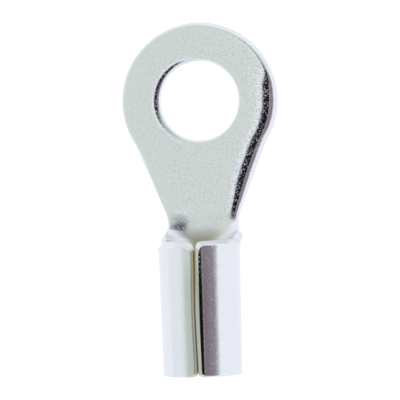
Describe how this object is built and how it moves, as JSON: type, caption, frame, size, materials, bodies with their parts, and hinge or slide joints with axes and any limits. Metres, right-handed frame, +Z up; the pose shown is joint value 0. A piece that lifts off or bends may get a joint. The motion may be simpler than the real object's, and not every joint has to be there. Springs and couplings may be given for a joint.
{
  "type": "ring terminal",
  "caption": "Flat ring for a stud on a tapered tongue, rolled at its neck into a short barrel with a butted seam, which is crimped onto a bare wire.",
  "frame": {"origin": "centre of the stud hole, on the underside of the ring", "axes": "+Z up through the stud hole, to the side of the barrel's seam; +Y along the terminal to the ring's tip, so the barrel points down -Y; +X to the right seen from above"},
  "size_m": [0.0126, 0.0281, 0.0064],
  "materials": {
    "tin_plate": "satin"
  },
  "bodies": {
    "root": {"ring_terminal": "tin_plate"}
  },
  "joints": []
}
